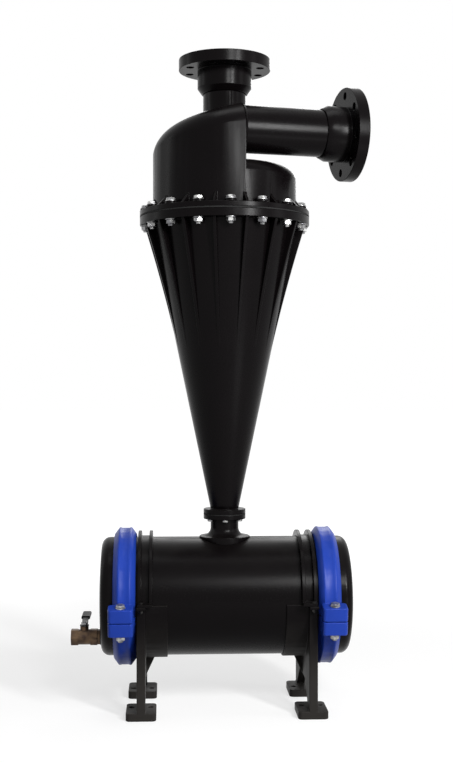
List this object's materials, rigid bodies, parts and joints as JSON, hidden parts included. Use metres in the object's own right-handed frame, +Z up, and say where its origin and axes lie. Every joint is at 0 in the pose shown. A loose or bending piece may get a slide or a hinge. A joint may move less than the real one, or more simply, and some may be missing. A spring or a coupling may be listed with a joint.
{
  "type": "hydrocyclone filter",
  "caption": "Black moulded hydrocyclone filter: ribbed cone under a scroll head with flanged inlet and outlet, on a horizontal sediment tank with blue clamps and a drain valve.",
  "frame": {"origin": "on the ground, below the cyclone's axis, midway between the four foot pads", "axes": "+X along the tank away from the drain valve, +Y to the back, +Z up along the outlet's axis"},
  "size_m": [0.6973, 0.407, 1.5505],
  "materials": {
    "black_plastic": "semi-gloss moulded",
    "blue_coating": "semi-gloss coating",
    "gasket_rubber": "matt",
    "valve_brass": "dull",
    "bright_steel": "bright",
    "grip_vinyl": "dipped"
  },
  "bodies": {
    "filter": {"tank_shell": "black_plastic", "left_end_cap": "black_plastic", "right_end_cap": "black_plastic", "left_clamp_upper": "blue_coating", "left_clamp_lower": "blue_coating", "right_clamp_upper": "blue_coating", "right_clamp_lower": "blue_coating", "left_stand": "black_plastic", "right_stand": "black_plastic", "left_strap": "black_plastic", "right_strap": "black_plastic", "tank_neck": "black_plastic", "apex_gasket": "gasket_rubber", "cone": "black_plastic", "head_gasket": "gasket_rubber", "cyclone_head": "black_plastic", "inlet_pipe": "black_plastic", "inlet_flange": "black_plastic", "outlet_flange": "black_plastic", "drain_nipple": "valve_brass", "valve_body": "valve_brass"},
    "drain_lever": {"valve_ball": "bright_steel", "valve_stem": "valve_brass", "valve_lever": "bright_steel", "lever_grip": "grip_vinyl", "lever_nut": "bright_steel"}
  },
  "joints": [
    {"name": "drain_lever_turn", "type": "hinge", "parent": "filter", "child": "drain_lever", "pos_m": [-0.336, 0, 0.1645], "axis": [0, 0, 1], "range_deg": [0, 90]}
  ]
}
